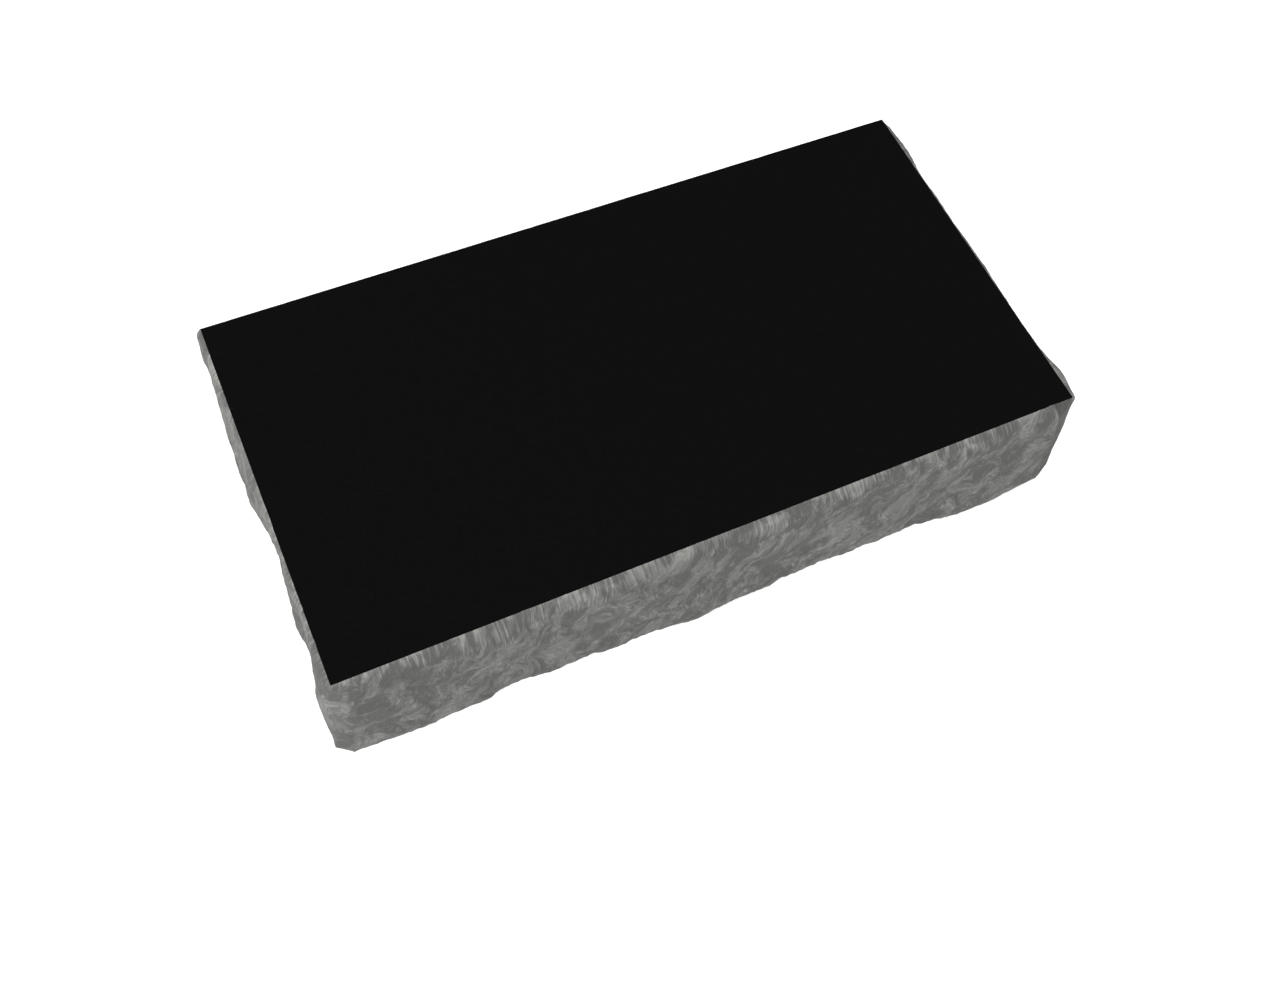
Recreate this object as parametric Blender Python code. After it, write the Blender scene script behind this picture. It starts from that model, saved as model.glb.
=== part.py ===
"""Granite slab for leather work: one solid block of black granite.

The top is sawn flat and polished, and the underside is sawn flat. The four sides are
rock-pitched: split off with a broad chisel, so that each one breaks outwards from a straight
top edge and stands proud of it in broad lobes, and its corners and lower edge are chipped.

Frame: metres, +X along the length, +Y from the front side to the back one, +Z up. The origin
is in the plane of the underside, straight below the middle of the polished face.
"""

import math

import bmesh
import bpy
import numpy as np
from mathutils import Matrix, Vector

# ---- Driving dimensions, in metres ----
TOP_LENGTH = 0.6096  # the polished face along X, 24 inches
TOP_WIDTH = 0.3048  # the polished face along Y, 12 inches
THICKNESS = 0.1016  # underside to polished face, 4 inches
FRONT_REACH = 0.0262  # how far the front side's boldest point stands out beyond the polished edge
BACK_REACH = 0.0262  # the same for the back side
LEFT_REACH = 0.0128  # the same for the left end
RIGHT_REACH = 0.0165  # the same for the right end
EDGE_BREAK = 0.0015  # how far the chipped lower edge is drawn in
EDGE_BREAK_HEIGHT = 0.004  # how far up from the underside that chipping reaches
FLAKE_SPACING = 0.056  # from one blow of the pitching chisel to the next
FLAKE_DEPTH = 0.0030  # how deep the dish is that one blow leaves, ridge to middle

# ---- Where the blows fall, and how wide their dishes are ----
BLOW_STRAY = 0.25  # how far along a blow strays from its even place, as a share of the spacing
LOW_BLOW = 0.26  # the height of every other blow, as a share of the thickness
HIGH_BLOW = 0.70  # and that of the blows between
BLOW_HEIGHT_STRAY = 0.1  # how far up or down a blow strays, as a share of the thickness
DISH_RADIUS = 0.75  # from a dish's middle to its ridge, as a share of the spacing
RIDGE_SHARE = 0.5  # the share of a dish's depth that its ridge stands above the side

# ---- How finely the sides are cut up ----
STRIP = 0.008  # widest strip between two upright cuts
LEVELS = (0.0025, 0.006, 0.011, 0.018, 0.028, 0.040, 0.054, 0.068, 0.082)  # cuts below the top
LOWEST_CUTS = (0.009, 0.004)  # cuts above the underside

# ---- The four sides ----
# along and out are the directions along the side and away from the block. The break steps out
# by shoulder within a few times step_depth below the polished edge, then leans on out by lean
# down to the underside. Each of its two upright corners has a shoulder and a lean of its own,
# and then how far along the side these carry, at the top and at the underside. Each lobe is
# (place along the side from -1 to 1, height on it from 0 at the underside to 1 at the top, half
# width, half height, how far it stands out), and a negative one is a hollow. The seed places
# the dishes that the chisel left.
SIDES = {
    "front": {
        "along": (1, 0, 0),
        "out": (0, -1, 0),
        "reach": FRONT_REACH,
        "shoulder": 0.0095,
        "step_depth": 0.0048,
        "lean": 0.0110,
        "corners": ((0.0, 0.0142, 0.010, 0.008), (0.0, 0.0166, 0.019, 0.008)),
        "lobes": (
            (-0.88, 0.03, 0.028, 0.034, 0.0036),
            (-0.09, 0.05, 0.036, 0.034, 0.0054),
            (0.10, 0.05, 0.016, 0.030, 0.0022),
            (0.77, 0.05, 0.046, 0.034, 0.0056),
            (-0.48, 0.62, 0.045, 0.022, 0.0018),
            (0.36, 0.58, 0.050, 0.020, -0.0016),
        ),
        "seed": 4,
    },
    "right": {
        "along": (0, 1, 0),
        "out": (1, 0, 0),
        "reach": RIGHT_REACH,
        "shoulder": 0.0060,
        "step_depth": 0.0058,
        "lean": 0.0035,
        "corners": ((0.0022, 0.0098, 0.003, 0.003), (0.0022, 0.0030, 0.008, 0.008)),
        "lobes": (
            (0.76, 0.94, 0.034, 0.012, 0.0040),
            (-0.84, 0.94, 0.020, 0.012, 0.0080),
            (-0.98, 0.10, 0.008, 0.016, 0.0080),
            (-0.93, 0.52, 0.018, 0.024, -0.0060),
            (-0.25, 0.30, 0.032, 0.030, 0.0032),
            (0.38, 0.18, 0.030, 0.026, 0.0040),
        ),
        "seed": 8,
    },
    "back": {
        "along": (-1, 0, 0),
        "out": (0, 1, 0),
        "reach": BACK_REACH,
        "shoulder": 0.0095,
        "step_depth": 0.0190,
        "lean": 0.0095,
        "corners": ((0.0010, 0.0120, 0.012, 0.010), (0.0, 0.0095, 0.012, 0.008)),
        "lobes": (
            (-0.70, 0.22, 0.036, 0.034, 0.0060),
            (-0.18, 0.40, 0.040, 0.026, -0.0024),
            (0.22, 0.15, 0.034, 0.030, 0.0052),
            (0.66, 0.48, 0.042, 0.030, 0.0030),
        ),
        "seed": 13,
    },
    "left": {
        "along": (0, -1, 0),
        "out": (-1, 0, 0),
        "reach": LEFT_REACH,
        "shoulder": 0.0048,
        "step_depth": 0.0046,
        "lean": 0.0,
        "corners": ((0.0050, 0.0010, 0.008, 0.008), (0.0036, 0.0100, 0.004, 0.003)),
        "lobes": (
            (-0.86, 0.50, 0.016, 0.060, -0.0026),
            (-0.48, 0.42, 0.024, 0.040, 0.0034),
            (-0.17, 0.45, 0.020, 0.034, 0.0044),
            (0.22, 0.50, 0.024, 0.090, -0.0056),
            (0.48, 0.55, 0.011, 0.030, 0.0046),
            (0.62, 0.50, 0.012, 0.050, -0.0024),
            (0.93, 0.45, 0.018, 0.036, 0.0064),
            (0.97, 0.22, 0.012, 0.022, 0.0056),
        ),
        "seed": 1,
    },
}

TOUCHING = 1e-6  # closer than this to a plane counts as on it


def dishes(side, along, height, half_length):
    """The shallow dishes of the chisel's blows, from 0 on the ridges between them to -1 in their middles.

    The blows follow one another along the side, low and high by turns, each a little off its even
    place. A point takes the square of its distance to the nearest one's middle.
    """
    draw = np.random.default_rng(side["seed"])
    count = max(2, round(2 * half_length / FLAKE_SPACING))
    even = np.linspace(-half_length, half_length, count)
    middles = even + draw.uniform(-BLOW_STRAY, BLOW_STRAY, count) * FLAKE_SPACING
    rows = np.where(np.arange(count) % 2 == 0, LOW_BLOW, HIGH_BLOW)
    rows = rows + draw.uniform(-BLOW_HEIGHT_STRAY, BLOW_HEIGHT_STRAY, count)
    across = along[:, None] - middles
    up = height[:, None] - rows * THICKNESS
    nearest = np.sqrt((across**2 + up**2).min(axis=1)) / FLAKE_SPACING
    return np.minimum(nearest / DISH_RADIUS, 1) ** 2 - 1


def corner_nearness(side, along, height, half_length):
    """For the first and the last upright corner: 1 at it, falling straight to 0 at the end of its run."""
    found = []
    for end, (_, _, top_run, base_run) in zip((-half_length, half_length), side["corners"]):
        run = base_run + (top_run - base_run) * height / THICKNESS
        found.append(np.clip(1 - abs(along - end) / run, 0, 1))
    return found


def relief(side, along, height, half_length):
    """How far the broken face stands out, at each place along it and height above the underside.

    A shoulder that rises steeply below the polished edge and levels off, a straight lean, the
    side's own lobes, and the dishes of the chisel blows. Towards an upright corner all of that
    gives way evenly to the corner's own shoulder and lean. It starts from nothing at the polished edge,
    is scaled so that its boldest point reaches just as far as the side should, and the lowest few
    millimetres are drawn in.
    """
    depth = THICKNESS - height
    step = 1 - np.exp(-depth / side["step_depth"])
    out = side["shoulder"] * step + side["lean"] * depth / THICKNESS
    for place, level, half_width, half_height, stands_out in side["lobes"]:
        across = (along - place * half_length) / half_width
        up = (height - level * THICKNESS) / half_height
        out = out + step * stands_out * np.exp(-(across**2) - up**2)
    out = out + FLAKE_DEPTH * step * (dishes(side, along, height, half_length) + RIDGE_SHARE)
    for corner, nearness in zip(side["corners"], corner_nearness(side, along, height, half_length)):
        shoulder, lean = corner[:2]
        out = out + nearness * (shoulder * step + lean * depth / THICKNESS - out)
    out = out - EDGE_BREAK * np.exp(-((height / EDGE_BREAK_HEIGHT) ** 2))
    return np.maximum(out, 0) * side["reach"] / out.max()


def clear_scene():
    for found in list(bpy.data.objects):
        bpy.data.objects.remove(found, do_unlink=True)


def cut_sides(block, axis, places):
    """Cuts the block's upright faces by planes square to an axis, leaving its top and underside whole."""
    square_to = Vector([float(i == axis) for i in range(3)])
    for place in places:
        sides = [face for face in block.faces if abs(face.normal.z) < 0.5]
        edges = {edge for face in sides for edge in face.edges}
        corners = {corner for face in sides for corner in face.verts}
        bmesh.ops.bisect_plane(
            block,
            geom=list(corners) + list(edges) + sides,
            dist=TOUCHING,
            plane_co=square_to * place,
            plane_no=square_to,
        )


def even_places(length):
    """Places that part a length, centred on zero, into equal strips no wider than STRIP."""
    strips = math.ceil(length / STRIP)
    return np.linspace(-length / 2, length / 2, strips + 1)[1:-1]


def break_sides(block):
    """Moves every corner point of the four sides outwards by the relief of the side it is on."""
    block.verts.ensure_lookup_table()
    points = np.array([corner.co[:] for corner in block.verts])
    moved = points.copy()
    for side in SIDES.values():
        out = np.array(side["out"], float)
        along = np.array(side["along"], float)
        half_depth = abs(out) @ (TOP_LENGTH / 2, TOP_WIDTH / 2, 0)
        half_length = abs(along) @ (TOP_LENGTH / 2, TOP_WIDTH / 2, 0)
        on_side = points @ out > half_depth - TOUCHING
        stands_out = relief(side, points[on_side] @ along, points[on_side, 2], half_length)
        moved[on_side] += stands_out[:, None] * out
    for corner, place in zip(block.verts, moved):
        corner.co = place


def make_slab(collection, material):
    """A cube primitive at the slab's size, its sides cut into strips and broken outwards."""
    block = bmesh.new()
    to_size = Matrix.Diagonal((TOP_LENGTH, TOP_WIDTH, THICKNESS, 1))
    onto_ground = Matrix.Translation((0, 0, THICKNESS / 2))
    bmesh.ops.create_cube(block, size=1, matrix=onto_ground @ to_size)
    cut_sides(block, 0, even_places(TOP_LENGTH))
    cut_sides(block, 1, even_places(TOP_WIDTH))
    cut_sides(block, 2, [THICKNESS - level for level in LEVELS if level < THICKNESS - LOWEST_CUTS[0]])
    cut_sides(block, 2, LOWEST_CUTS)
    break_sides(block)
    # The top and the underside become fans about a middle point, so their long edges triangulate cleanly.
    flat = [face for face in block.faces if len(face.verts) > 4]
    bmesh.ops.poke(block, faces=flat)
    bmesh.ops.triangulate(block, faces=block.faces[:])
    bmesh.ops.recalc_face_normals(block, faces=block.faces[:])
    mesh = bpy.data.meshes.new("granite_slab")
    block.to_mesh(mesh)
    block.free()
    mesh.materials.append(material)
    slab = bpy.data.objects.new("granite_slab", mesh)
    collection.objects.link(slab)
    return slab


def black_granite():
    """Polished black granite: near black, with a hard gloss."""
    material = bpy.data.materials.new("polished_black_granite")
    material.use_nodes = True
    shader = material.node_tree.nodes["Principled BSDF"]
    shader.inputs["Base Color"].default_value = (0.006, 0.006, 0.006, 1)
    shader.inputs["Roughness"].default_value = 0.12
    shader.inputs["Metallic"].default_value = 0.0
    return material


def main():
    clear_scene()
    collection = bpy.data.collections.new("granite_slab_parts")
    bpy.context.scene.collection.children.link(collection)
    make_slab(collection, black_granite())


main()
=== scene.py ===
# %% [markdown]
# # A granite slab for leather work
#
# A leather worker stamps, carves and punches on a heavy, dead-flat stone. This one is a single
# block of black granite: a polished top, a sawn underside, and four sides that a mason split
# off with a pitching chisel. There is nothing to assemble, so all of the work goes into one
# closed surface and its three finishes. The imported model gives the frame: its sizes, its place
# and its box, which the detailed surface must stay inside.

# %% Load the frame
import itertools
import math

import bpy
import numpy as np
from mathutils import Matrix, Vector


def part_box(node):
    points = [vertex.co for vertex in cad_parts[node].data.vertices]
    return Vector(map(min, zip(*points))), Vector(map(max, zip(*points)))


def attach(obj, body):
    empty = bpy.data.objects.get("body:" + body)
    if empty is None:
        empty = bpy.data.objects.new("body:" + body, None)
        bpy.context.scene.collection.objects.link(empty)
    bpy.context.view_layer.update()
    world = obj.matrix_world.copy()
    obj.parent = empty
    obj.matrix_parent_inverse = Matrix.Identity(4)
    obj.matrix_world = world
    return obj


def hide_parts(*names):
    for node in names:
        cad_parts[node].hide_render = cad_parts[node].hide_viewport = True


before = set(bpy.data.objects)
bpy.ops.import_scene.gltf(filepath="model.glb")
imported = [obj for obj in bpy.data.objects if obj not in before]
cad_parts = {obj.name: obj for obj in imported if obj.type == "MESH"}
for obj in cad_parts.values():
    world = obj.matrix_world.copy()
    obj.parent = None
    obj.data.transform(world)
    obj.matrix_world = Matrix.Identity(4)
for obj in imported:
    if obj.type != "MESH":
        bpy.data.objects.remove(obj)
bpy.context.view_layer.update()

# %% [markdown]
# ## Reading the block's sizes
#
# The sizes could be typed in again, but then they would drift apart from the solid's. So they
# are measured on it. The polished face is the flat rectangle at the very top, and its corner
# points give its length and width. What is left over up to the solid's box is how far each
# broken side may stand out.

# %% Measure the polished face and the sides' reach
FLAT_WITHIN = 1e-5

low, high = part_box("granite_slab")
solid_points = np.array([vertex.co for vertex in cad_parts["granite_slab"].data.vertices])
face_points = solid_points[solid_points[:, 2] > high.z - FLAT_WITHIN]
top_length, top_width = np.ptp(face_points[:, :2], axis=0)
thickness = high.z - low.z
reach = {
    "front": -low.y - top_width / 2,
    "right": high.x - top_length / 2,
    "back": high.y - top_width / 2,
    "left": -low.x - top_length / 2,
}
print(f"polished face {top_length:.4f} x {top_width:.4f} m, {thickness:.4f} m thick")
print("reach of the sides", {name: round(out, 4) for name, out in reach.items()})

# %% [markdown]
# ## The four broken sides
#
# A mason sets the chisel on the scribed edge and strikes. The stone cracks outwards from that
# edge, so just below it the side steps out in a rounded shoulder, and from there it leans out a
# little further down to the underside. No two blows go alike, which leaves broad lobes and
# hollows. Sculpting them by hand would work too, but a table of a few numbers a side can be
# read, changed and matched to the solid, which uses the same ones.
#
# The shoulder is how far a side steps out, the step depth how far down that takes, and the lean
# how much more it stands out at the underside. A corner of a side is (shoulder, lean, how far
# the corner runs along the side at the top, and at the underside). A lobe is (place along the
# side from -1 to 1, height on it from 0 at the underside to 1 at the top, half width, half
# height, how far it stands out). Lengths are in metres.

# %% The sides' broad shapes
SIDES = {
    "front": {
        "along": (1, 0, 0),
        "out": (0, -1, 0),
        "shoulder": 0.0095,
        "step_depth": 0.0048,
        "lean": 0.0110,
        "corners": ((0.0, 0.0142, 0.010, 0.008), (0.0, 0.0166, 0.019, 0.008)),
        "lobes": (
            (-0.88, 0.03, 0.028, 0.034, 0.0036),
            (-0.09, 0.05, 0.036, 0.034, 0.0054),
            (0.10, 0.05, 0.016, 0.030, 0.0022),
            (0.77, 0.05, 0.046, 0.034, 0.0056),
            (-0.48, 0.62, 0.045, 0.022, 0.0018),
            (0.36, 0.58, 0.050, 0.020, -0.0016),
        ),
        "seed": 4,
    },
    "right": {
        "along": (0, 1, 0),
        "out": (1, 0, 0),
        "shoulder": 0.0060,
        "step_depth": 0.0058,
        "lean": 0.0035,
        "corners": ((0.0022, 0.0098, 0.003, 0.003), (0.0022, 0.0030, 0.008, 0.008)),
        "lobes": (
            (0.76, 0.94, 0.034, 0.012, 0.0040),
            (-0.84, 0.94, 0.020, 0.012, 0.0080),
            (-0.98, 0.10, 0.008, 0.016, 0.0080),
            (-0.93, 0.52, 0.018, 0.024, -0.0060),
            (-0.25, 0.30, 0.032, 0.030, 0.0032),
            (0.38, 0.18, 0.030, 0.026, 0.0040),
        ),
        "seed": 8,
    },
    "back": {
        "along": (-1, 0, 0),
        "out": (0, 1, 0),
        "shoulder": 0.0095,
        "step_depth": 0.0190,
        "lean": 0.0095,
        "corners": ((0.0010, 0.0120, 0.012, 0.010), (0.0, 0.0095, 0.012, 0.008)),
        "lobes": (
            (-0.70, 0.22, 0.036, 0.034, 0.0060),
            (-0.18, 0.40, 0.040, 0.026, -0.0024),
            (0.22, 0.15, 0.034, 0.030, 0.0052),
            (0.66, 0.48, 0.042, 0.030, 0.0030),
        ),
        "seed": 13,
    },
    "left": {
        "along": (0, -1, 0),
        "out": (-1, 0, 0),
        "shoulder": 0.0048,
        "step_depth": 0.0046,
        "lean": 0.0,
        "corners": ((0.0050, 0.0010, 0.008, 0.008), (0.0036, 0.0100, 0.004, 0.003)),
        "lobes": (
            (-0.86, 0.50, 0.016, 0.060, -0.0026),
            (-0.48, 0.42, 0.024, 0.040, 0.0034),
            (-0.17, 0.45, 0.020, 0.034, 0.0044),
            (0.22, 0.50, 0.024, 0.090, -0.0056),
            (0.48, 0.55, 0.011, 0.030, 0.0046),
            (0.62, 0.50, 0.012, 0.050, -0.0024),
            (0.93, 0.45, 0.018, 0.036, 0.0064),
            (0.97, 0.22, 0.012, 0.022, 0.0056),
        ),
        "seed": 1,
    },
}
half_size = np.array([top_length / 2, top_width / 2, 0])
half_lengths = {name: abs(np.array(side["along"])) @ half_size for name, side in SIDES.items()}
print(sum(len(side["lobes"]) for side in SIDES.values()), "lobes on", len(SIDES), "sides")

# %% [markdown]
# ### Dishes of the blows
#
# Each blow of the chisel throws off one broad flake and leaves a shallow dish, with a ridge
# where two dishes meet. A boolean with squashed spheres could cut them, but it would leave a
# messy mesh. A distance does the same job: the nearer a point is to the middle of its blow, the
# deeper it lies.

# %% How deep a point lies in its dish
FLAKE_SPACING = 0.056
BLOW_STRAY = 0.25           # a share of the spacing
DISH_RADIUS = 0.75          # a share of the spacing
LOW_BLOW = 0.26             # a share of the thickness, as the next two are
HIGH_BLOW = 0.70
BLOW_HEIGHT_STRAY = 0.1


def dishes(side, along, height, half_length):
    """The dishes of a side, from 0 on the ridges between them to -1 in their middles.

    The blows follow one another along the side, low and high by turns, each a little off its
    even place. A point takes the square of its distance to the nearest blow's middle, in dish
    radii, less one.
    """
    draw = np.random.default_rng(side["seed"])
    count = max(2, round(2 * half_length / FLAKE_SPACING))
    even = np.linspace(-half_length, half_length, count)
    middles = even + draw.uniform(-BLOW_STRAY, BLOW_STRAY, count) * FLAKE_SPACING
    rows = np.where(np.arange(count) % 2 == 0, LOW_BLOW, HIGH_BLOW)
    rows = rows + draw.uniform(-BLOW_HEIGHT_STRAY, BLOW_HEIGHT_STRAY, count)
    across = along[..., None] - middles
    up = height[..., None] - rows * thickness
    nearest = np.sqrt((across**2 + up**2).min(axis=-1)) / FLAKE_SPACING
    return np.minimum(nearest / DISH_RADIUS, 1) ** 2 - 1


print("a blow about every", round(FLAKE_SPACING * 1000), "mm")

# %% [markdown]
# ### Corners and the whole relief
#
# At an upright corner two broken sides meet, and the stone breaks in its own way there: mostly
# with little or no step, and leaning out further down. So each corner has a shoulder and a lean
# of its own, and the side blends into it over a short run. The whole relief is then a plain sum
# that gives, for any place and height on a side, how far it stands out.

# %% Nearness to the corners, and the relief
FLAKE_DEPTH = 0.0030
RIDGE_SHARE = 0.5           # how much of that the ridges stand proud
EDGE_BREAK = 0.0015
EDGE_BREAK_HEIGHT = 0.004


def corner_nearness(side, along, height, half_length):
    """For the first and the last corner: 1 at the corner, falling straight to 0 over its run."""
    found = []
    for end, (_, _, top_run, base_run) in zip((-half_length, half_length), side["corners"]):
        run = base_run + (top_run - base_run) * height / thickness
        found.append(np.clip(1 - abs(along - end) / run, 0, 1))
    return found


def broad_relief(side, along, height, half_length):
    """How far the side stands out, before any fine breakage.

    A shoulder that rises as one minus a falling exponential of depth, a straight lean,
    bell-shaped lobes, and the dishes. Near an upright corner all of that gives way to the
    corner's own shoulder and lean, and the lowest few millimetres are drawn in.
    """
    depth = thickness - height
    step = 1 - np.exp(-depth / side["step_depth"])
    out = side["shoulder"] * step + side["lean"] * depth / thickness
    for place, level, half_width, half_height, bulge in side["lobes"]:
        across = (along - place * half_length) / half_width
        up = (height - level * thickness) / half_height
        out = out + step * bulge * np.exp(-(across**2) - up**2)
    out = out + FLAKE_DEPTH * step * (dishes(side, along, height, half_length) + RIDGE_SHARE)
    nearnesses = corner_nearness(side, along, height, half_length)
    for (shoulder, lean, _, _), nearness in zip(side["corners"], nearnesses):
        out = out + nearness * (shoulder * step + lean * depth / thickness - out)
    return out - EDGE_BREAK * np.exp(-((height / EDGE_BREAK_HEIGHT) ** 2))


middle_height = np.array([thickness / 2])
for name, side in SIDES.items():
    middle_relief = broad_relief(side, np.zeros(1), middle_height, half_lengths[name])
    print(f"{name}: {middle_relief[0] * 1000:.1f} mm out at its middle")

# %% [markdown]
# ## Random, but the same every time
#
# Broken stone is rough at every size at once. Blender's own textures could push the surface
# about with a Displace modifier, but plain arrays are easier to hold inside the solid's box.
# Two building blocks are enough, and the first is a smooth random height, the classic value
# noise. It looks up a fixed list of random numbers by the point's whole-number place, so the
# stone is the same on every run. Three large odd numbers mix that place into an index, so that
# neighbours get numbers far apart in the list.

# %% Smooth noise
LIST_LENGTH = 8192
MIXERS = (73856093, 19349663, 83492791)


def lattice_values(whole, seed):
    """One random number from 0 to 1 for each whole-number place.

    Its three coordinates, each times its mixer, are joined by exclusive or. The remainder of
    that, divided by the list's length, is the index.
    """
    numbers = np.random.default_rng(seed).random(LIST_LENGTH)
    x, y, z = (whole[..., axis] * mixer for axis, mixer in enumerate(MIXERS))
    return numbers[(x ^ y ^ z) % LIST_LENGTH]


def noise(points, size, seed):
    """A smooth random height from 0 to 1 whose hills are about size metres across.

    The eight random numbers round a point are blended by its fractions, eased by
    6t^5 - 15t^4 + 10t^3.
    """
    scaled = points / size
    whole = np.floor(scaled).astype(np.int64)
    part = scaled - whole
    eased = part**3 * (part * (part * 6 - 15) + 10)
    total = np.zeros(points.shape[:-1])
    for corner in itertools.product((0, 1), repeat=3):
        share = np.where(corner, eased, 1 - eased).prod(axis=-1)
        total += share * lattice_values(whole + np.array(corner), seed)
    return total


test_line = np.linspace((0, 0, 0), (top_length, 0, 0), 1000)
test_noise = noise(test_line, 0.003, 51)
print(f"noise along a line: {test_noise.min():.2f} to {test_noise.max():.2f}")

# %% [markdown]
# The second building block is a field of small cells whose middles are dished, with sharp ridges
# between them, like the scars where flakes left the stone. Noise alone has no ridges and would
# look like putty. Each cell has a middle at a random place, and the squared distance to the
# nearest middle is the dish.

# %% Dished facets
def facets(points, size, seed):
    """Cells about size metres across, from 0 in a cell's middle to about 1 on the ridges.

    Each lattice cell holds one middle at a random place, and a point takes its squared distance
    to the nearest of the twenty-seven around it.
    """
    scaled = points / size
    whole = np.floor(scaled).astype(np.int64)
    nearest = np.full(points.shape[:-1], np.inf)
    for offset in itertools.product((-1, 0, 1), repeat=3):
        cell = whole + np.array(offset)
        inside = [lattice_values(cell, seed + axis) for axis in range(3)]
        middle = cell + np.stack(inside, axis=-1)
        nearest = np.minimum(nearest, ((scaled - middle) ** 2).sum(axis=-1))
    return np.minimum(nearest, 1)


test_facets = facets(test_line, 0.021, 21)
print(f"facets along a line: {test_facets.min():.2f} to {test_facets.max():.2f}")

# %% [markdown]
# ## Fine breakage
#
# On top of the broad shape come, from coarse to fine: slow waves, flakes as big as a thumbnail,
# smaller flakes on them, feather-like ribs that run down from the struck edge, and the grain of
# the parted crystals. Each layer is noise or facets at one size. The flakes and ribs use points
# that slower noise has pushed about, because straight rows of cells would look like a machine's
# work.

# %% Breakage of a side
# Each layer: how far it stands out or pushes, how wide its shapes are, in metres, and its seed.
FLAKES = (0.0022, 0.021, 21)
FLAKELETS = (0.0008, 0.0075, 31)
WAVES = (0.0030, 0.03, 41)
CRYSTALS = (0.0005, 0.0030, 51)
SWIRL = (0.010, 0.03, 11)
RIBS = (0.0007, (0.0045, 0.0045, 0.018), 12)
FACET_MEAN = 0.35
NOISE_MEAN = 0.5


def breakage(points):
    """Metres to add to a side's relief: each layer's pattern, less its mean, times its depth.

    A rib is the crest of a noise that is stretched downwards: one minus its distance from its
    mean, doubled.
    """
    swirl_depth, swirl_size, swirl_seed = SWIRL
    swirl = noise(points[..., [1, 2, 0]], swirl_size, swirl_seed)[..., None]
    swirled = points + swirl_depth * (swirl - NOISE_MEAN)
    rib_depth, rib_sizes, rib_seed = RIBS
    ribs = 1 - np.abs(2 * noise(swirled / np.array(rib_sizes), 1.0, rib_seed) - 1)
    out = rib_depth * (ribs - NOISE_MEAN)
    for depth, size, seed in (FLAKES, FLAKELETS):
        out = out + depth * (facets(swirled, size, seed) - FACET_MEAN)
    for depth, size, seed in (WAVES, CRYSTALS):
        out = out + depth * (noise(points, size, seed) - NOISE_MEAN)
    return out


test_breakage = breakage(test_line) * 1000
print(f"breakage along a line: {test_breakage.min():.1f} to {test_breakage.max():.1f} mm")

# %% [markdown]
# ## One closed surface
#
# The whole block is one grid. Its columns go once round the block, and its rows run from the
# middle of the polished face out to the edge, down the side, and back in to the middle of the
# underside. Six separate faces would be quicker to write, but their seams would gape as soon as
# the sides are pushed out. Rows lie closer together near the two edges, where the shape turns
# fastest.

# %% Rows and columns
COLUMN_STEP = 0.0016
ROW_STEP = 0.0017
FIRST_DEPTHS = (0.0, 0.0006, 0.0014, 0.0024, 0.0037, 0.0053)
LAST_HEIGHTS = (0.0040, 0.0026, 0.0013, 0.0)

middle_rows = round((thickness - FIRST_DEPTHS[-1] - LAST_HEIGHTS[0]) / ROW_STEP)
middle_depths = np.linspace(FIRST_DEPTHS[-1], thickness - LAST_HEIGHTS[0], middle_rows + 1)[1:-1]
depths = np.concatenate([FIRST_DEPTHS, middle_depths, thickness - np.array(LAST_HEIGHTS)])
heights = thickness - depths


def side_columns(name):
    """Even places along a side, from its first corner up to just before its last one."""
    half_length = half_lengths[name]
    count = round(2 * half_length / COLUMN_STEP)
    return np.linspace(-half_length, half_length, count + 1)[:-1]


print(len(depths), "rows down each side")
print({name: len(side_columns(name)) for name in SIDES}, "columns")

# %% [markdown]
# Now the broad relief and the breakage meet on that grid. The breakage fades in below the
# struck edge, which stays straight, and it is calmer at the upright corners. The detailed
# surface must not stand out past the solid's box. Cutting it off there would leave flat spots,
# so a soft limit bends it under instead.

# %% The relief on the grid
FADE_DEPTHS = {"front": 0.004, "right": 0.004, "back": 0.014, "left": 0.004}
CORNER_CALM = 0.85          # how much of the breakage a corner loses
LIMIT_KNEE = 0.0008         # how softly the surface bends under the limit
LIMIT_GAP = 0.0002          # how far inside the solid's box the limit lies


def stands_out(name, along):
    """The full relief of a side: a row for each place along it, a column for each depth.

    The broad relief plus the breakage, which grows as one minus a falling exponential of depth.
    The soft limit is the limit minus the smooth positive part of what is left up to it.
    """
    side = SIDES[name]
    flat = along[:, None, None] * np.array(side["along"], float)
    flat = flat + np.array(side["out"], float) * half_size
    flat = flat + heights[None, :, None] * np.array([0, 0, 1.0])
    along_grid, height_grid = np.broadcast_arrays(along[:, None], heights[None, :])
    grid = (side, along_grid, height_grid, half_lengths[name])
    calm = 1 - CORNER_CALM * np.maximum(*corner_nearness(*grid))
    fade = 1 - np.exp(-depths / FADE_DEPTHS[name])
    out = broad_relief(*grid) + breakage(flat) * calm * fade
    limit = reach[name] - LIMIT_GAP
    return limit - LIMIT_KNEE * np.log1p(np.exp((limit - out) / LIMIT_KNEE))


for name in SIDES:
    most = stands_out(name, side_columns(name)).max()
    print(f"{name}: {most * 1000:.1f} mm out at most, of {reach[name] * 1000:.1f} mm")

# %% [markdown]
# Where two sides meet, the corner's column belongs to both, so it moves out by both reliefs. The
# columns next to it are drawn along, less and less, so that no strip of the grid is stretched.

# %% Join the four sides
CORNER_DRAW = 0.055


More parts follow.
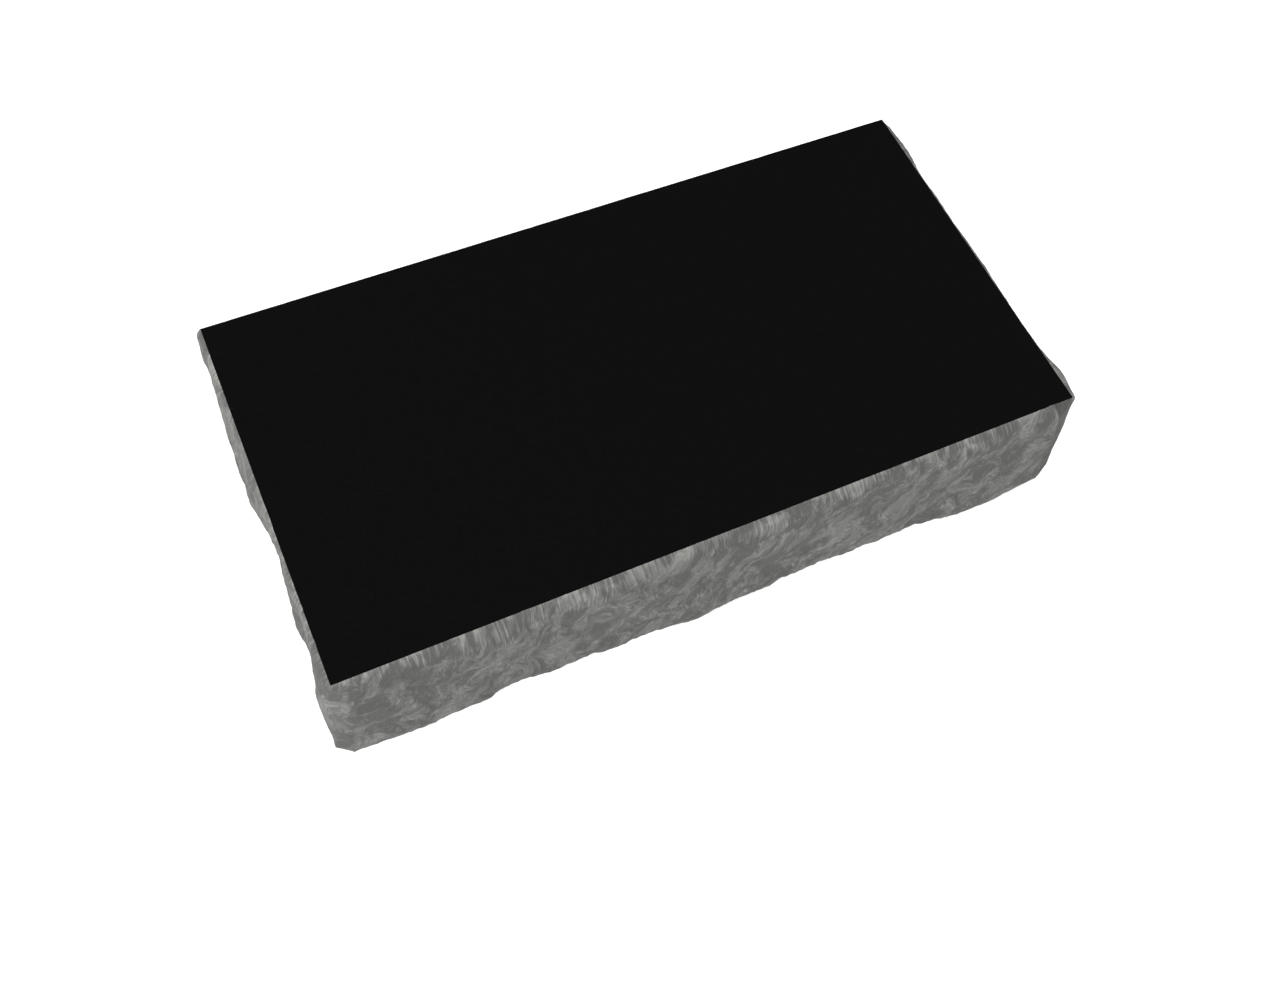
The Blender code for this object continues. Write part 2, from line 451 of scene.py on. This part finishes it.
def side_points(name, before, after):
    """The points of a side's columns.

    Each goes out by its own relief, and along by the relief of the neighbouring side's end,
    times the square of its nearness to that corner.
    """
    half_length = half_lengths[name]
    along_direction = np.array(SIDES[name]["along"], float)
    out_direction = np.array(SIDES[name]["out"], float)
    along = side_columns(name)
    before_end = stands_out(before, np.array([half_lengths[before]]))
    after_end = stands_out(after, np.array([-half_lengths[after]]))
    near_first = np.clip(1 - (along + half_length) / CORNER_DRAW, 0, 1)[:, None] ** 2
    near_last = np.clip(1 - (half_length - along) / CORNER_DRAW, 0, 1)[:, None] ** 2
    drawn = along[:, None] - before_end * near_first + after_end * near_last
    own = stands_out(name, along)
    points = drawn[..., None] * along_direction + own[..., None] * out_direction
    points = points + out_direction * half_size
    points[..., 2] = heights
    return points


names = list(SIDES)
round_trip = zip(names, names[-1:] + names[:-1], names[1:] + names[:1])
skirt = np.concatenate([side_points(*trio) for trio in round_trip])
print("columns and rows of the skirt", skirt.shape[:2])

# %% [markdown]
# At the front's corners, above all the right-hand one, the stone's colour is darkened. This is
# painted shade, standing in for the shade that facet lies in. The finish needs to know where that
# is, so each point gets a value for it. Painting a mask would do it too, but the corner's own run is
# already at hand.

# %% Where the corners get painted shade
# Painted shade: how strongly each side's corners are darkened, at the first corner and at the last.
CORNER_SHADE_SHARES = {"front": (0.25, 1.0)}       # at its first corner and at its last
CORNER_SHADE_RISE = 8


def painted_corner_shade(name):
    """How much painted shade the corners give a point, from 0 to 1.

    The nearness to a corner, steepened and cut off at 1, times that corner's share.
    """
    along_grid, height_grid = np.broadcast_arrays(side_columns(name)[:, None], heights[None, :])
    first, last = corner_nearness(SIDES[name], along_grid, height_grid, half_lengths[name])
    first_share, last_share = CORNER_SHADE_SHARES.get(name, (0.0, 0.0))
    shade_at_first = np.clip(CORNER_SHADE_RISE * first, 0, 1) * first_share
    shade_at_last = np.clip(CORNER_SHADE_RISE * last, 0, 1) * last_share
    return np.maximum(shade_at_first, shade_at_last)


corner_shade = np.concatenate([painted_corner_shade(name) for name in names])
# The printed share is of the points that get painted corner shade.
print(f"{(corner_shade > 0.5).mean():.1%} of the sides' points are on a clean break")

# %% [markdown]
# The edge of the polished face is straight to about a millimetre, with tiny nicks where
# crystals let go. A Bevel would make it too even. Here a nick moves an edge point inwards only,
# so the face itself stays dead flat.

# %% Nicks in the polished edge
NICK_DEPTH = 0.0005
NICK_SIZE = 0.004
NICK_CLUSTER = 0.011
NICK_LEVEL = 0.36           # noise above this makes a nick
NICK_RISE = 0.4             # and this much more makes it full
CRUMB_DEPTH = 0.00008
CRUMB_SIZE = 0.0025
SECOND_ROW_SHARE = 0.6
AT_EDGE = 1e-4

rim = skirt[:, 0]
nick_noise = noise(rim, NICK_SIZE, 61) * noise(rim, NICK_CLUSTER, 62)
nicks = NICK_DEPTH * np.clip((nick_noise - NICK_LEVEL) / NICK_RISE, 0, 1)
nicks = nicks + CRUMB_DEPTH * noise(rim, CRUMB_SIZE, 63)
square_in = -np.sign(rim) * (np.abs(rim) > half_size - AT_EDGE) * np.array([1, 1, 0])
skirt[:, 0] += nicks[:, None] * square_in
skirt[:, 1] += SECOND_ROW_SHARE * nicks[:, None] * square_in
print(f"deepest nick {nicks.max() * 1000:.2f} mm")

# %% [markdown]
# Each flat face closes as rings that shrink towards its middle, like a polar grid, with a fan
# of triangles round the middle point. One big polygon would be simpler, but its thousand
# corners are hard to cut into even triangles.

# %% Points and faces
RING_SHARES = (0.985, 0.8, 0.5, 0.2)


def shrunk_rings(ring):
    """Copies of a ring of points, scaled towards the Z axis by each ring share in turn."""
    return [ring * np.array([share, share, 1]) for share in RING_SHARES]


top_rings = shrunk_rings(skirt[:, 0])[::-1]
base_rings = shrunk_rings(skirt[:, -1])
rows = np.stack(top_rings + list(skirt.transpose(1, 0, 2)) + base_rings)
row_count, column_count = rows.shape[:2]
vertices = np.concatenate([rows.reshape(-1, 3), [[0, 0, thickness], [0, 0, 0]]])
top_pole, base_pole = len(vertices) - 2, len(vertices) - 1

index = np.arange(row_count * column_count).reshape(row_count, column_count)
onward = np.roll(index, -1, axis=1)
quads = np.stack([index[:-1], index[1:], onward[1:], onward[:-1]], axis=-1).reshape(-1, 4)
top_fan = np.stack([np.full(column_count, top_pole), index[0], onward[0]], axis=-1)
base_fan = np.stack([np.full(column_count, base_pole), onward[-1], index[-1]], axis=-1)
faces = quads.tolist() + top_fan.tolist() + base_fan.tolist()
print(len(vertices), "points,", sum(len(face) - 2 for face in faces), "triangles")

# %% [markdown]
# A mesh can hold several materials, and each face says which one it wears. The strips of faces
# inside the polished edge are polished, those inside the lower edge are sawn, and all between
# them are broken. Only the broken ones are shaded smooth, which keeps both edges crisp.

# %% The mesh, with a finish for each face
POLISHED, PITCHED, SAWN = range(3)

strip_finish = np.full(row_count - 1, PITCHED)
strip_finish[: len(top_rings)] = POLISHED
strip_finish[-len(base_rings):] = SAWN
fan_finishes = np.repeat([POLISHED, SAWN], column_count)
finish = np.concatenate([np.repeat(strip_finish, column_count), fan_finishes])

mesh = bpy.data.meshes.new("granite_block")
mesh.from_pydata(vertices.tolist(), [], faces)
mesh.polygons.foreach_set("material_index", finish.astype(np.int32))
mesh.polygons.foreach_set("use_smooth", finish == PITCHED)
print("polished, pitched and sawn faces", np.bincount(finish))

# %% [markdown]
# The broken finish reads two more values at each point, and both travel with the mesh as attributes.
# One says where the corners get painted shade. The other unrolls the sides: each column gets its
# place on a drum as long round as the block, so that a pattern can run round a corner without a
# jump.

# %% Values that the broken finish reads
corner_shade_rows = np.zeros((row_count, column_count))
corner_shade_rows[len(top_rings) : -len(base_rings)] = corner_shade.T
corner_shade_values = np.append(corner_shade_rows.ravel(), [0, 0]).astype(np.float32)
# The mask of painted corner shade goes on the mesh as an attribute.
mesh.attributes.new("painted_corner_shade", "FLOAT", "POINT").data.foreach_set("value", corner_shade_values)

turn = 2 * np.pi * np.arange(column_count) / column_count
drum_radius = (top_length + top_width) / np.pi
drum = drum_radius * np.stack([np.cos(turn), np.sin(turn)], axis=-1)
unrolled = vertices.copy()
unrolled[:-2, :2] = np.tile(drum, (row_count, 1))
mesh.attributes.new("unrolled", "FLOAT_VECTOR", "POINT").data.foreach_set("vector", unrolled.ravel())

mesh.validate()
mesh.update()
block = bpy.data.objects.new("granite_block", mesh)
bpy.context.scene.collection.objects.link(block)
# The first values counted are the mask of painted corner shade.
print(block.name, "carries", corner_shade_values.size, "clean break values and unrolled points")

# %% [markdown]
# ## Finishes
#
# All three finishes are the same stone. What changes is how its surface was made, and that
# changes how much light goes in and comes back. Two helpers come first: one turns a hex colour
# into the linear numbers that Blender's shaders take, and one adds a node with its settings
# and its links.

# %% Colour and node helpers
MM = 0.001


def linear(hex_colour):
    """An sRGB hex colour as linear red, green, blue and alpha."""
    parts = [int(hex_colour[i : i + 2], 16) / 255 for i in (1, 3, 5)]
    return tuple(c / 12.92 if c <= 0.04045 else ((c + 0.055) / 1.055) ** 2.4 for c in parts) + (1.0,)


def add_node(tree, kind, inputs=(), **settings):
    """Adds a node, sets its properties, and fills its inputs.

    An input takes a value, a link from a socket, or a link from another node's first output.
    """
    node = tree.nodes.new(kind)
    for name, value in settings.items():
        setattr(node, name, value)
    for key, value in dict(inputs).items():
        if isinstance(value, bpy.types.Node):
            value = value.outputs[0]
        if isinstance(value, bpy.types.NodeSocket):
            tree.links.new(value, node.inputs[key])
        else:
            node.inputs[key].default_value = value
    return node


def new_material(name):
    """An empty node material: itself, its tree, its output, and its Object coordinates."""
    material = bpy.data.materials.new(name)
    material.use_nodes = True
    tree = material.node_tree
    tree.nodes.clear()
    output = tree.nodes.new("ShaderNodeOutputMaterial")
    place = add_node(tree, "ShaderNodeTexCoord").outputs["Object"]
    return material, tree, output, place


print("mid grey #808080 is", [round(part, 3) for part in linear("#808080")], "in linear numbers")

# %% [markdown]
# ### The polished face
#
# Black granite, in truth a fine gabbro: nearly black pyroxene and feldspar, 1 to 2 mm grains.
# Ground and buffed to a mirror, it sends light in and almost none comes back, so it is almost
# black, and its gloss is that of any clear mineral. Up close a few grains are a shade lighter
# and a few are less shiny. A Voronoi texture gives each grain its own random colour, so one of
# its channels can set the tone and another the gloss.

# %% Polished black granite
CRYSTAL_IOR = 1.54
GRAIN = 1.6 * MM

polished, tree, output, place = new_material("polished_black_granite")
grains = add_node(tree, "ShaderNodeTexVoronoi", {"Vector": place, "Scale": 1 / GRAIN})
grain = add_node(tree, "ShaderNodeSeparateColor", {"Color": grains.outputs["Color"]})
tone = add_node(tree, "ShaderNodeValToRGB", {"Fac": grain.outputs["Red"]})
tone.color_ramp.elements[0].color = linear("#080808")
tone.color_ramp.elements[1].color = linear("#0a0a0a")
gloss = {"Value": grain.outputs["Green"], "To Min": 0.05, "To Max": 0.09}
gloss = add_node(tree, "ShaderNodeMapRange", gloss)
shader = {"Base Color": tone, "Roughness": gloss, "IOR": CRYSTAL_IOR}
shader = add_node(tree, "ShaderNodeBsdfPrincipled", shader)
tree.links.new(shader.outputs["BSDF"], output.inputs["Surface"])
print(polished.name, "with grains of", round(GRAIN / MM, 1), "mm")

# %% [markdown]
# ### The pitched sides
#
# Where the same stone is split, its crystals are cracked and bruised, so they scatter light and
# the face turns mid grey. The blow leaves feathery strands: short and upright close to the
# struck edge, swirling lower down, over lighter and darker clouds. An image of stone could
# cover it, but it would show seams and stretch. Two recipes make the strands instead. One bends
# the coordinates with coarse noise, so that whatever is drawn on them swirls. The other draws
# noise out along one direction, so that its round spots become strands.

# %% Recipes for bent coordinates and strands
pitched, tree, output, place = new_material("rock_pitched_black_granite")


def bent(start, size, amount):
    """Coordinates moved by up to half the amount, following noise whose hills are this size."""
    swirl = {"Vector": start, "Scale": 1 / size, "Detail": 1.0}
    swirl = add_node(tree, "ShaderNodeTexNoise", swirl)
    centred = {0: swirl.outputs["Color"], 1: (0.5, 0.5, 0.5)}
    offset = add_node(tree, "ShaderNodeVectorMath", centred, operation="SUBTRACT")
    moved = {0: offset, 1: (amount, amount, amount), 2: start}
    moved = add_node(tree, "ShaderNodeVectorMath", moved, operation="MULTIPLY_ADD")
    return moved.outputs["Vector"]


def strands(start, length, width, tilt, turn, detail=3.0, roughness=0.62):
    """Noise drawn out to a length and a width.

    Its long way is tilted up from level and turned about Z, both in degrees.
    """
    angles = (0.0, math.radians(-tilt), math.radians(turn))
    laid = {"Vector": start, "Rotation": angles, "Scale": (length, width, width)}
    laid = add_node(tree, "ShaderNodeMapping", laid, vector_type="TEXTURE")
    drawn = {"Vector": laid, "Scale": 1.0, "Detail": detail, "Roughness": roughness}
    return add_node(tree, "ShaderNodeTexNoise", drawn)


WIDE_SWIRL = 45 * MM
NARROW_SWIRL = 15 * MM
flow = bent(bent(place, WIDE_SWIRL, 45 * MM), NARROW_SWIRL, 12 * MM)
print("coordinates swirl over", round(WIDE_SWIRL / MM), "and", round(NARROW_SWIRL / MM), "mm")

# %% [markdown]
# The strands are 12 to 20 mm long and about 2.5 mm wide, as on the broken stone. Three fields
# of them lie steep, level and leaning back, and each takes over where a coarse noise says so.
# The turn of 45 degrees lets one field serve all four sides.

# %% Strands on the body of a side
ALL_SIDES = 45
STEEP, LEVEL, LEANING_BACK = 58, 6, 118

rising = strands(flow, 14 * MM, 2.6 * MM, STEEP, ALL_SIDES, 4.0, 0.66)
level = strands(flow, 20 * MM, 2.4 * MM, LEVEL, ALL_SIDES, 4.0, 0.66)
falling = strands(flow, 12 * MM, 2.6 * MM, LEANING_BACK, ALL_SIDES, 4.0, 0.66)
steep_areas = strands(place, 30 * MM, 30 * MM, 0, 0, 1.0)
steep_areas = {"Value": steep_areas, "From Min": 0.44, "From Max": 0.56}
back_areas = strands(place, 24 * MM, 24 * MM, 30, 60, 1.0)
back_areas = {"Value": back_areas, "From Min": 0.50, "From Max": 0.60}
body = {"Factor": add_node(tree, "ShaderNodeMapRange", steep_areas), "A": level, "B": rising}
body = add_node(tree, "ShaderNodeMix", body, data_type="FLOAT")
body = {"Factor": add_node(tree, "ShaderNodeMapRange", back_areas), "A": body, "B": falling}
body = add_node(tree, "ShaderNodeMix", body, data_type="FLOAT")
print("strands tilted by", (STEEP, LEVEL, LEANING_BACK), "degrees")

# %% [markdown]
# Under the struck edge the stone parts in fine upright hairs, in lens-shaped stretches up to
# 20 mm deep. They follow the side round its shoulder, so they are drawn on the unrolled
# coordinates that the mesh carries and not on its place in space.

# %% Hairs under the struck edge
HAIR_WIDTH = 1.5 * MM
HAIR_REACH = 20 * MM

around = add_node(tree, "ShaderNodeAttribute", attribute_name="unrolled").outputs["Vector"]
hairs = strands(bent(around, 20 * MM, 8 * MM), 24 * MM, HAIR_WIDTH, 88, 20, 2.0, 0.5)
above_base = add_node(tree, "ShaderNodeSeparateXYZ", {"Vector": place}).outputs["Z"]
edge_depth = {0: thickness, 1: above_base}
edge_depth = add_node(tree, "ShaderNodeMath", edge_depth, operation="SUBTRACT")
hair_depth = {"Value": strands(place, 50 * MM, 50 * MM, 0, 0, 1.0)}
hair_depth.update({"From Min": 0.35, "From Max": 0.65, "To Min": -4 * MM, "To Max": HAIR_REACH})
hair_depth = add_node(tree, "ShaderNodeMapRange", hair_depth)
near_edge = add_node(tree, "ShaderNodeMath", {0: hair_depth, 1: edge_depth}, operation="SUBTRACT")
near_edge = {"Value": near_edge, "From Min": -1 * MM, "From Max": 2 * MM}
near_edge = add_node(tree, "ShaderNodeMapRange", near_edge)
streaks = {"Factor": near_edge, "A": body, "B": hairs}
streaks = add_node(tree, "ShaderNodeMix", streaks, data_type="FLOAT")
print("hairs", round(HAIR_WIDTH / MM, 1), "mm wide, down to", round(HAIR_REACH / MM), "mm")

# %% [markdown]
# Clouds some 30 mm long and blots of 20 mm lighten the stone. Their outlines lean on the
# strands, which makes their edges feathery. The brightest threads run inside the clouds.

# %% Clouds, blots and threads
CLOUD_SHARE = 0.26
BLOT_SHARE = 0.20
SPECKLE_SHARE = 0.20

off_middle = add_node(tree, "ShaderNodeMath", {0: streaks, 1: 0.5}, operation="SUBTRACT")
clouds = {0: off_middle, 1: 0.32, 2: strands(flow, 30 * MM, 16 * MM, 55, ALL_SIDES, 2.0)}
clouds = add_node(tree, "ShaderNodeMath", clouds, operation="MULTIPLY_ADD")
clouds = {"Value": clouds, "From Min": 0.45, "From Max": 0.60}
clouds = add_node(tree, "ShaderNodeMapRange", clouds)
blots = {0: off_middle, 1: 0.25, 2: strands(flow, 22 * MM, 10 * MM, 50, ALL_SIDES, 3.0)}
blots = add_node(tree, "ShaderNodeMath", blots, operation="MULTIPLY_ADD")
blots = {"Value": blots, "From Min": 0.53, "From Max": 0.63}
blots = add_node(tree, "ShaderNodeMapRange", blots)
threads = {"Value": streaks, "From Min": 0.48, "From Max": 0.68}
threads = add_node(tree, "ShaderNodeMapRange", threads)
thread_share = {"Value": clouds, "To Min": 0.14, "To Max": 0.34}
thread_share = add_node(tree, "ShaderNodeMapRange", thread_share)
lighter = {0: threads, 1: thread_share}
lighter = add_node(tree, "ShaderNodeMath", lighter, operation="MULTIPLY")
crystals = strands(place, 1 * MM, 1 * MM, 0, 0, 1.0)
speckle = add_node(tree, "ShaderNodeMath", {0: crystals, 1: 0.35}, operation="SUBTRACT")
for field, share in ((clouds, CLOUD_SHARE), (blots, BLOT_SHARE), (speckle, SPECKLE_SHARE)):
    lighter = {0: field, 1: share, 2: lighter}
    lighter = add_node(tree, "ShaderNodeMath", lighter, operation="MULTIPLY_ADD")
print("shares of clouds, blots and speckle", (CLOUD_SHARE, BLOT_SHARE, SPECKLE_SHARE))

# %% [markdown]
# Two more marks come last. A pale bruise less than 2 mm wide follows the edge that the chisel hit.
# And on the corner facets that the mask holds, the colour is darkened: painted shade, standing in
# for the shade those facets lie in. The strands feather the outline of that painted shade too.

# %% Bruised edge, painted corner shade and colour
BRUISE_WIDTH = 1.8 * MM
# How dark the painted corner shade leaves the stone, as a share of its tone.
CORNER_SHADE_TONE = 0.40

bruise = {"Value": edge_depth, "From Min": 0.4 * MM, "From Max": BRUISE_WIDTH}
bruise.update({"To Min": 0.14, "To Max": 0.0})
bruise = add_node(tree, "ShaderNodeMapRange", bruise)
lighter = {0: bruise, 1: clouds, 2: lighter}
lighter = add_node(tree, "ShaderNodeMath", lighter, operation="MULTIPLY_ADD")
lighter = {0: lighter, 1: 0.8, 2: 0.2}
lighter = add_node(tree, "ShaderNodeMath", lighter, operation="MULTIPLY_ADD")
# Painted shade: where the mask says so, the colour is darkened, with an outline feathered by the
# strands.
corner_shade_here = add_node(tree, "ShaderNodeAttribute", attribute_name="painted_corner_shade").outputs["Fac"]
feathered = {0: off_middle, 1: 1.6, 2: corner_shade_here}
feathered = add_node(tree, "ShaderNodeMath", feathered, operation="MULTIPLY_ADD")
darkening = {"Value": feathered, "From Min": 0.35, "From Max": 0.75}
darkening.update({"To Min": 1.0, "To Max": CORNER_SHADE_TONE})
darkening = add_node(tree, "ShaderNodeMapRange", darkening)
lighter = {0: lighter, 1: darkening}
lighter = add_node(tree, "ShaderNodeMath", lighter, operation="MULTIPLY")
tone = add_node(tree, "ShaderNodeValToRGB", {"Fac": lighter})
tone.color_ramp.elements[0].color = linear("#1c1c1b")
tone.color_ramp.elements[1].color = linear("#8e8e8b")
# The last share printed is the tone left under the painted corner shade.
print("bruise", round(BRUISE_WIDTH / MM, 1), "mm wide, clean facets at", CORNER_SHADE_TONE, "of the tone")

# %% [markdown]
# Broken stone is matt, with a roughness of about 0.8, and the crystals' IOR stays the same. Two
# bumps add what is too fine for the mesh: the crystals themselves and the ridges of the strands.

# %% Shader of the pitched sides
BROKEN_ROUGHNESS = 0.82

bumps = {"Height": crystals, "Strength": 0.5, "Distance": 0.3 * MM}
bumps = add_node(tree, "ShaderNodeBump", bumps)
bumps = {"Height": streaks, "Strength": 0.35, "Distance": 0.8 * MM, "Normal": bumps}
bumps = add_node(tree, "ShaderNodeBump", bumps)
shader = {"Base Color": tone, "Roughness": BROKEN_ROUGHNESS, "IOR": CRYSTAL_IOR, "Normal": bumps}
shader = add_node(tree, "ShaderNodeBsdfPrincipled", shader)
tree.links.new(shader.outputs["BSDF"], output.inputs["Surface"])
print(pitched.name, "has", len(tree.nodes), "nodes")

# %% [markdown]
# ### The sawn underside
#
# A gang saw leaves the underside flat and matt, dark grey with fine parallel lines. Nobody sees
# it in use, but a slab that is turned over should still look like stone. A Wave texture draws
# the lines, and noise breaks up their tone. At a scale of 1 that texture repeats every 2 pi / 20
# metres, so the scale follows from the distance between two lines.

# %% Sawn black granite
SAW_LINE = 7.9 * MM
WAVE_REPEAT = 2 * math.pi / 20

sawn, tree, output, place = new_material("sawn_black_granite")
lines = {"Vector": place, "Scale": WAVE_REPEAT / SAW_LINE, "Distortion": 1.2, "Detail": 2.0}
lines = add_node(tree, "ShaderNodeTexWave", lines, bands_direction="X").outputs["Fac"]
mottle = {"Vector": place, "Scale": 1 / (1.5 * MM), "Detail": 2.0}
mottle = add_node(tree, "ShaderNodeTexNoise", mottle)
blend = {"Factor": 0.6, "A": lines, "B": mottle}
blend = add_node(tree, "ShaderNodeMix", blend, data_type="FLOAT")
tone = add_node(tree, "ShaderNodeValToRGB", {"Fac": blend})
tone.color_ramp.elements[0].color = linear("#3c3c3a")
tone.color_ramp.elements[1].color = linear("#5c5c59")
bumps = add_node(tree, "ShaderNodeBump", {"Height": lines, "Strength": 0.3, "Distance": 0.3 * MM})
shader = {"Base Color": tone, "Roughness": 0.6, "IOR": CRYSTAL_IOR, "Normal": bumps}
shader = add_node(tree, "ShaderNodeBsdfPrincipled", shader)
tree.links.new(shader.outputs["BSDF"], output.inputs["Surface"])
print(sawn.name, "with lines", round(SAW_LINE / MM, 1), "mm apart")

# %% [markdown]
# ## The block takes the solid's place
#
# The mesh gets its three finishes in the order that its faces count them. Then the block is
# tied to the slab's one body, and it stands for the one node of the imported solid.

# %% Hand the block over to the frame
for material in (polished, pitched, sawn):
    mesh.materials.append(material)
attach(block, "root")
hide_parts("granite_slab")
print("finishes of", block.name, [material.name for material in mesh.materials])

# %% [markdown]
# ## Floor, light and camera
#
# The slab lies on a pale matt floor, a single square of 50 m, so that its edge stays far away.
# It glows weakly, so that the soft shadow round the stone fades into white, and it throws no
# light back up onto the broken sides, because that would flatten their relief.

# %% Floor
FLOOR_HALF = 25.0
FLOOR_GAP = 0.0003

floor_corners = [(-1, -1), (1, -1), (1, 1), (-1, 1)]
floor_points = [(x * FLOOR_HALF, y * FLOOR_HALF, 0) for x, y in floor_corners]
floor_mesh = bpy.data.meshes.new("studio_floor")
floor_mesh.from_pydata(floor_points, [], [(0, 1, 2, 3)])
floor = bpy.data.objects.new("studio_floor", floor_mesh)
floor.location.z = low.z - FLOOR_GAP
bpy.context.scene.collection.objects.link(floor)
floor_paint = bpy.data.materials.new("matt_white_floor")
floor_paint.use_nodes = True
paint = floor_paint.node_tree.nodes["Principled BSDF"].inputs
paint["Base Color"].default_value = linear("#f4f4f3")
paint["Roughness"].default_value = 0.9
paint["Emission Color"].default_value = linear("#ffffff")
paint["Emission Strength"].default_value = 0.25
floor_mesh.materials.append(floor_paint)
floor.visible_diffuse = False
print("floor", 2 * FLOOR_HALF, "m across,", round(FLOOR_GAP / MM, 1), "mm below the stone")

# %% [markdown]
# A mirror-flat black face shows whatever it faces, so the light comes from large soft lamps
# round the stone. The two that the face would show as a glare, above it and on its right, are
# hidden from reflections, as black screens would hide them in a studio.

# %% Lamps
def soft_lamp(name, place, width, watts):
    """A square area lamp that faces the middle of the slab."""
    data = bpy.data.lights.new(name, "AREA")
    data.shape = "SQUARE"
    data.size = width
    data.energy = watts
    lamp = bpy.data.objects.new(name, data)
    lamp.location = place
    to_slab = Vector((0, 0, thickness / 2)) - lamp.location
    lamp.rotation_euler = to_slab.to_track_quat("-Z", "Y").to_euler()
    bpy.context.scene.collection.objects.link(lamp)
    print(f"{name}: {width} m wide, {watts} W, {to_slab.length:.1f} m away")
    return lamp


above = soft_lamp("lamp_above", (0.0, 0.0, 3.0), 4.0, 62)
above.visible_glossy = False
soft_lamp("lamp_left", (-2.4, -0.3, 1.6), 3.0, 94)
soft_lamp("lamp_front", (0.1, -2.6, 1.7), 2.0, 50)
right = soft_lamp("lamp_right", (2.3, 0.8, 1.4), 1.6, 32)
right.visible_glossy = False
soft_lamp("lamp_back", (-0.9, 2.5, 1.3), 2.6, 34)

# %% [markdown]
# The room itself is light near the floor and dark overhead, by a ramp over how steeply one
# looks up. A room of one white would be simpler, but the polished face would mirror it. Seen
# from above, that face now mirrors the dark part and stays black, and the light part gives the
# broken sides an even fill.

# %% Room
ROOM_LIGHT = 0.8
ROOM_GREYS = {0.0: 0.7, 0.30: 0.6, 0.62: 0.03}      # by the sine of how far one looks up

world = bpy.data.worlds.new("studio_room")
bpy.context.scene.world = world
world.use_nodes = True
tree = world.node_tree
direction = add_node(tree, "ShaderNodeTexCoord").outputs["Generated"]
upward = add_node(tree, "ShaderNodeSeparateXYZ", {"Vector": direction}).outputs["Z"]
room = add_node(tree, "ShaderNodeValToRGB", {"Fac": upward})
stops = room.color_ramp.elements
stops[1].position = max(ROOM_GREYS)
stops.new(sorted(ROOM_GREYS)[1])
for stop, grey in zip(stops, ROOM_GREYS.values()):
    stop.color = (grey, grey, grey, 1)
tree.links.new(room.outputs["Color"], tree.nodes["Background"].inputs["Color"])
tree.nodes["Background"].inputs["Strength"].default_value = ROOM_LIGHT
bpy.context.scene.view_settings.view_transform = "Standard"
bpy.context.scene.view_settings.look = "None"
print("room greys", [(round(stop.position, 2), round(stop.color[0], 2)) for stop in stops])

# %% [markdown]
# The camera looks down from beyond the front left corner, about a metre away. A Track To constraint
# would aim it, but its turn about its own axis matters too here, so it is set by three turns:
# heading, looking down, and roll. The shift slides the picture without tilting the view.

# %% Camera
CAMERA_PLACE = (-0.2989, -0.4193, 0.9045)
HEADING, LOOK_DOWN, ROLL = 32.64, 63.69, 9.65

camera_data = bpy.data.cameras.new("camera")
camera_data.sensor_width = 36.0
camera_data.lens = 34.33
camera_data.shift_x = 0.0400
camera_data.shift_y = -0.0068
camera_data.clip_start = 0.01
camera = bpy.data.objects.new("camera", camera_data)
camera.matrix_world = (
    Matrix.Translation(CAMERA_PLACE)
    @ Matrix.Rotation(math.radians(-HEADING), 4, "Z")
    @ Matrix.Rotation(math.radians(90 - LOOK_DOWN), 4, "X")
    @ Matrix.Rotation(math.radians(ROLL), 4, "Z")
)
bpy.context.scene.collection.objects.link(camera)
bpy.context.scene.camera = camera
print("camera at", CAMERA_PLACE, "with a", round(camera_data.lens, 2), "mm lens")
